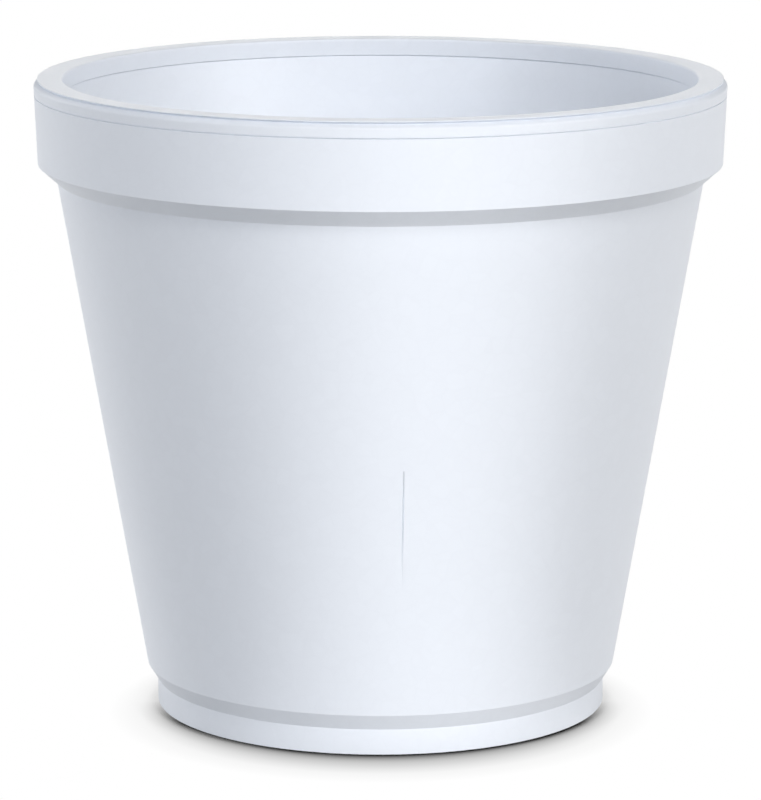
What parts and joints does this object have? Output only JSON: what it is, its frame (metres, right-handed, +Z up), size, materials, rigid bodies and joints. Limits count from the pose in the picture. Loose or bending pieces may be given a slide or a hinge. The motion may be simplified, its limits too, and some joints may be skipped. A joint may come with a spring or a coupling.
{
  "type": "foam cup",
  "caption": "Empty round foam cup with a tapered body, a tall overhanging collar, a flat rim and a narrow foot ring, to hold a hot or cold drink or soup.",
  "frame": {"origin": "centre of the foot ring's resting plane", "axes": "+Z up along the cup's own axis, out of its mouth"},
  "size_m": [0.108, 0.108, 0.0997],
  "materials": {
    "foam": "smooth matt white moulded foam"
  },
  "bodies": {
    "root": {"cup": "foam"}
  },
  "joints": []
}
